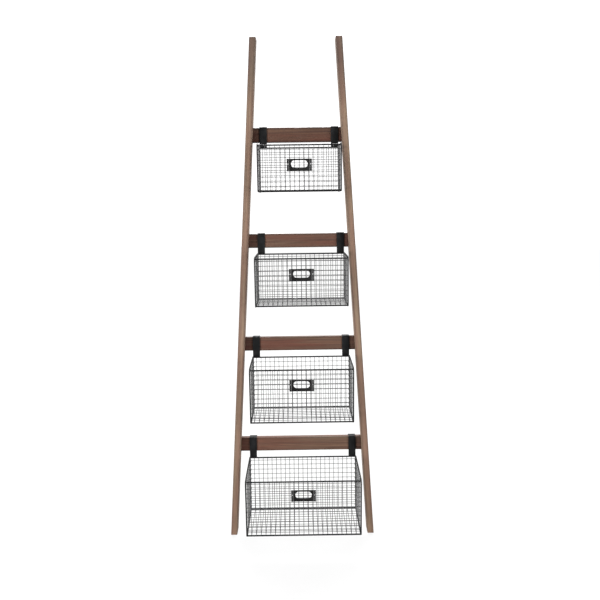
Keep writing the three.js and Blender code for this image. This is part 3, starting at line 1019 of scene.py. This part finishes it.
def make_world():
    """Light from all round, dim in front and below and bright behind."""
    world = bpy.data.worlds.new("studio")
    bpy.context.scene.world = world
    world.use_nodes = True
    tree = world.node_tree
    direction = tree.nodes.new("ShaderNodeTexCoord")
    axes = tree.nodes.new("ShaderNodeSeparateXYZ")
    tree.links.new(direction.outputs["Generated"], axes.inputs["Vector"])

    def blend(axis, low, high, before, after):
        """A strength that goes from one value to another along an axis."""
        share = tree.nodes.new("ShaderNodeMapRange")
        share.interpolation_type = "SMOOTHSTEP"
        share.inputs["From Min"].default_value = low
        share.inputs["From Max"].default_value = high
        tree.links.new(axes.outputs[axis], share.inputs["Value"])
        node = tree.nodes.new("ShaderNodeMix")
        for key, value in (("Factor", share.outputs["Result"]), ("A", before), ("B", after)):
            feed(tree, node.inputs[key], value)
        return node.outputs["Result"]

    front = blend(*WORLD_RISE, WORLD_BELOW, WORLD_ABOVE)
    strength = blend(*WORLD_TURN, front, WORLD_BEHIND)
    background = tree.nodes["Background"]
    background.inputs["Color"].default_value = (1, 1, 1, 1)
    tree.links.new(strength, background.inputs["Strength"])


def camera_only(name, bm, surface):
    """A white piece of the studio that only the camera sees: it puts no light on the shelf."""
    surface.shader.inputs["Emission Color"].default_value = (1, 1, 1, 1)
    mesh = bpy.data.meshes.new(name)
    bm.to_mesh(mesh)
    bm.free()
    mesh.materials.append(surface.material)
    holder = bpy.data.objects.new(name, mesh)
    holder.visible_diffuse = holder.visible_glossy = holder.visible_shadow = False
    bpy.context.scene.collection.objects.link(holder)


def make_backdrop():
    """A pale floor, whose glow rises with the distance from the shelf, inside a white dome."""
    bm = bmesh.new()
    bmesh.ops.create_circle(bm, cap_ends=True, segments=96, radius=DOME_RADIUS)
    bmesh.ops.translate(bm, verts=bm.verts, vec=(0, 0, -FLOOR_DROP))
    surface = Surface("studio_floor", Roughness=0.8, Specular_IOR_Level=0.0)
    tint = surface.ramp(surface.noise((2, 2, 2)), (0, 0.075), (1, 0.085))
    surface.use("Base Color", tint)
    place = surface.add("TexCoord", output="Object")
    away = surface.add("VectorMath", output="Value", inputs={0: place}, operation="LENGTH")
    span = dict(enumerate((away, *FLOOR_GLOW_REACH, *FLOOR_GLOW)))
    surface.use("Emission Strength", surface.add("MapRange", inputs=span))
    camera_only("studio_floor", bm, surface)

    bm = bmesh.new()
    bmesh.ops.create_uvsphere(bm, u_segments=48, v_segments=24, radius=DOME_RADIUS)
    camera_only("studio_dome", bm, Surface("studio_dome", Emission_Strength=1.0))


def make_softboxes():
    """Area lights that the camera doesn't see: one at each side in front, one above and behind."""
    for name, place, target, size, watts in SOFTBOXES:
        light = bpy.data.lights.new(name, "AREA")
        light.shape = "RECTANGLE"
        light.size, light.size_y = size
        light.energy = watts
        lamp = bpy.data.objects.new(name, light)
        bpy.context.scene.collection.objects.link(lamp)
        lamp.location = place
        lamp.visible_camera = False
        aim = Vector(target) - Vector(place)
        lamp.rotation_euler = aim.to_track_quat("-Z", "Y").to_euler()


def make_camera():
    """The photo's camera, as it was fitted to the shelf."""
    camera = bpy.data.cameras.new("camera")
    camera.sensor_width = CAMERA_SENSOR
    camera.lens = CAMERA_LENS
    holder = bpy.data.objects.new("camera", camera)
    bpy.context.scene.collection.objects.link(holder)
    place = Matrix.Translation(LADDER.translation) @ Matrix.Translation(CAMERA_PLACE)
    turn = Matrix.Rotation(CAMERA_YAW, 4, "Z")
    turn @= Matrix.Rotation(math.pi / 2 - CAMERA_PITCH, 4, "X")
    holder.matrix_world = place @ turn @ Matrix.Rotation(CAMERA_ROLL, 4, "Z")
    bpy.context.scene.camera = holder
    bpy.context.scene.view_settings.view_transform = "Standard"


# ---- Assembly ----

make_camera()
make_world()
make_backdrop()
make_softboxes()

rail_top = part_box("left_rail")[1].z
for (part, side), seed, pith in zip(SIDES, (1.3, 4.1), ((0.05, 0.03), (-0.04, 0.06))):
    shades = [("Z", *(rail_top * share for share in RAIL_TOP_SPAN), RAIL_TOP_SHADE)]
    material = wood(f"rail_wood_{part}", seed, pith=pith, shades=shades, **RAIL_TONES)
    make_rail(part, side, seed, material)
for number, tint in zip(BASKET_NUMBERS, RUNG_TINTS):
    seed = 6.3 + 2.7 * number
    pith = (0.045 + 0.01 * number, 0.02 * (-1) ** number)
    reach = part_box(f"rung_{number}")[1].x
    shades = [("Y", *RUNG_TOP_SPAN, RUNG_TOP_SHADE)]
    # painted shadow of the rails on both ends of the rung
    for side in (-1, 1):
        span = (side * (reach - inset) for inset in RUNG_END_SHADOW_SPAN)
        shades.append(("Z", *span, RUNG_END_PAINTED_SHADOW))
    tones = {key: tuple(map(math.prod, zip(tone, tint))) for key, tone in RUNG_TONES.items()}
    material = wood(f"rung_wood_{number}", seed, pith=pith, shades=shades, **tones)
    make_rung(number, seed, material)
make_screws(zinc_steel("screw_steel"))

steel = {name: black_steel(name, *coat) for name, coat in COATS.items()}
for number in BASKET_NUMBERS:
    basket = Basket(number)
    make_rods(basket, steel["rod_steel"])
    make_meshes(basket, steel["wire_steel"])
    make_label_holder(basket, steel["label_steel"])
    for part, _ in SIDES:
        make_hook(basket, part, steel["strap_steel"])
